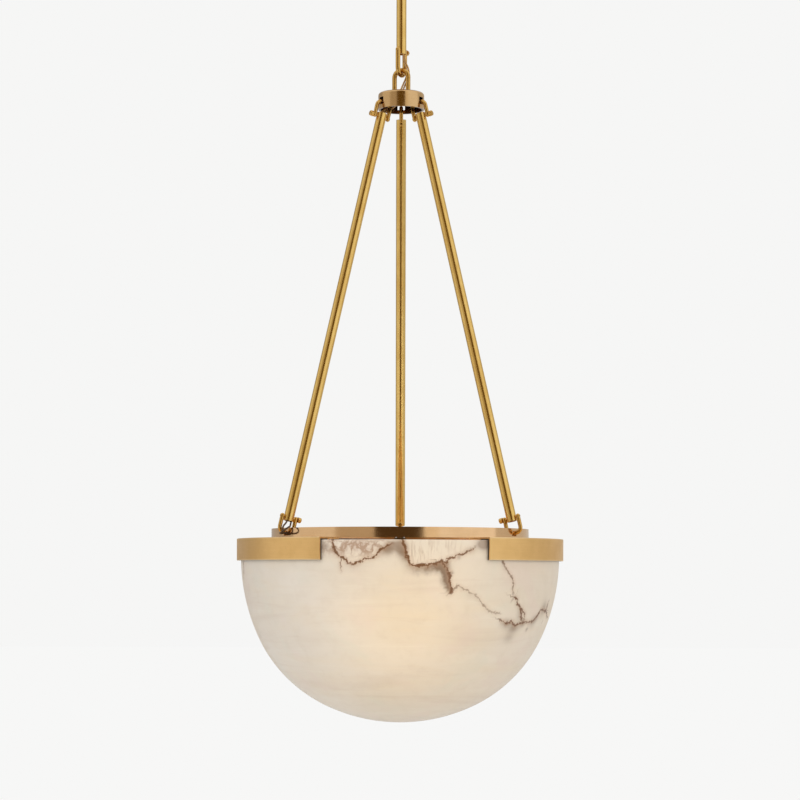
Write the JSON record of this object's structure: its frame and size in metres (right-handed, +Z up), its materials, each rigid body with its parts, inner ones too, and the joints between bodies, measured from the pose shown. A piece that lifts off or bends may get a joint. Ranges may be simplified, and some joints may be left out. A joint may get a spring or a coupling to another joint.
{
  "type": "bowl pendant",
  "caption": "Alabaster bowl pendant hung from a ring by leaning brass tubes and shackles, under a hub, link, down rod and canopy.",
  "frame": {"origin": "centre of the ceiling plate's upper face, on the pendant's axis", "axes": "+Z up towards the ceiling, the pendant hangs down -Z; the viewer of the picture stands on the -Y side and sees +X to the right"},
  "size_m": [0.4137, 0.4085, 1.0341],
  "materials": {
    "brass": "satin, lightly aged",
    "alabaster": "polished, veined and translucent",
    "steel": "zinc plated",
    "earth": "green screw",
    "porcelain": "white, unglazed inside",
    "lamp_glass": "frosted white",
    "lamp_metal": "rolled shell",
    "liner": "soft strip",
    "lead_gold": "clear gold insulation over copper",
    "lead_brown": "dark brown insulation",
    "connector": "moulded"
  },
  "bodies": {
    "ceiling": {"ceiling_plate": "steel", "studs": "steel", "earth_screw": "earth", "canopy": "brass", "cap_nuts": "brass", "swivel_cup": "brass", "swivel_cap": "brass", "lock_nut": "steel", "wire_connectors": "connector", "lead_canopy": "lead_gold"},
    "down_rod": {"swivel_ball": "brass", "down_rod": "brass", "lead_rod": "lead_gold"},
    "link": {"link_shackle": "brass", "link_pin": "brass", "lead_link_upper": "lead_gold", "lead_link_lower": "lead_gold"},
    "hub": {"hub": "brass", "hub_loop": "brass", "loop_nuts": "steel", "upper_shackle_left": "brass", "upper_shackle_right": "brass", "upper_shackle_back": "brass", "upper_pin_left": "brass", "upper_pin_right": "brass", "upper_pin_back": "brass", "lead_hub": "lead_gold"},
    "tube_left": {"tube_left": "brass", "lower_shackle_left": "brass", "lower_pin_left": "brass", "lead_tube": "lead_brown", "lead_bend": "lead_brown"},
    "tube_right": {"tube_right": "brass", "lower_shackle_right": "brass", "lower_pin_right": "brass"},
    "tube_back": {"tube_back": "brass", "lower_shackle_back": "brass", "lower_pin_back": "brass"},
    "ring": {"ring": "brass", "bowl": "alabaster", "clamp_left": "brass", "clamp_right": "brass", "clamp_back": "brass", "liner_left": "liner", "liner_right": "liner", "liner_back": "liner", "clamp_screws": "steel", "spider": "steel", "spider_screws": "steel", "lamp_nipple": "steel", "nipple_nuts": "steel", "lamp_cup": "brass", "lamp_holder_1": "porcelain", "lamp_holder_2": "porcelain", "lamp_holder_3": "porcelain", "lamp_caps": "lamp_metal", "lamp_globe_1": "lamp_glass", "lamp_globe_2": "lamp_glass", "lamp_globe_3": "lamp_glass", "lead_bowl": "lead_brown"}
  },
  "joints": [
    {"name": "swivel_tilt", "type": "hinge", "parent": "ceiling", "child": "down_rod", "pos_m": [0, 0, -0.034], "axis": [0, 1, 0], "range_deg": [-15, 15]},
    {"name": "link_swing", "type": "hinge", "parent": "down_rod", "child": "link", "pos_m": [0, 0, -0.1818], "axis": [0.4478, 0.8942, 0], "range_deg": [-30, 30], "deforming": ["lead_link_upper"]},
    {"name": "hub_swing", "type": "hinge", "parent": "link", "child": "hub", "pos_m": [0, 0, -0.2064], "axis": [0.8942, -0.4478, 0], "range_deg": [-25, 25], "deforming": ["lead_link_lower"]},
    {"name": "ring_twist", "type": "hinge", "parent": "hub", "child": "ring", "pos_m": [0, 0, -0.2465], "axis": [0, 0, 1], "range_deg": [-5, 5]},
    {"name": "tube_left_lean", "type": "hinge", "parent": "hub", "child": "tube_left", "pos_m": [-0.0252, -0.01455, -0.26839], "axis": [-0.8391, -0.4844, 0.2475], "range_deg": [-1.5, 1.5], "deforming": ["lead_bend"]},
    {"name": "tube_right_lean", "type": "hinge", "parent": "hub", "child": "tube_right", "pos_m": [0.0252, -0.01455, -0.26839], "axis": [0.8391, -0.4844, 0.2475], "range_deg": [-1.5, 1.5]},
    {"name": "tube_back_lean", "type": "hinge", "parent": "hub", "child": "tube_back", "pos_m": [0, 0.0291, -0.26839], "axis": [0, 0.9689, 0.2475], "range_deg": [-1.5, 1.5]}
  ],
  "couplings": [
    {"joint": "tube_left_lean", "follows": "ring_twist", "ratio": 0.2973},
    {"joint": "tube_right_lean", "follows": "ring_twist", "ratio": 0.2973},
    {"joint": "tube_back_lean", "follows": "ring_twist", "ratio": 0.2973}
  ]
}
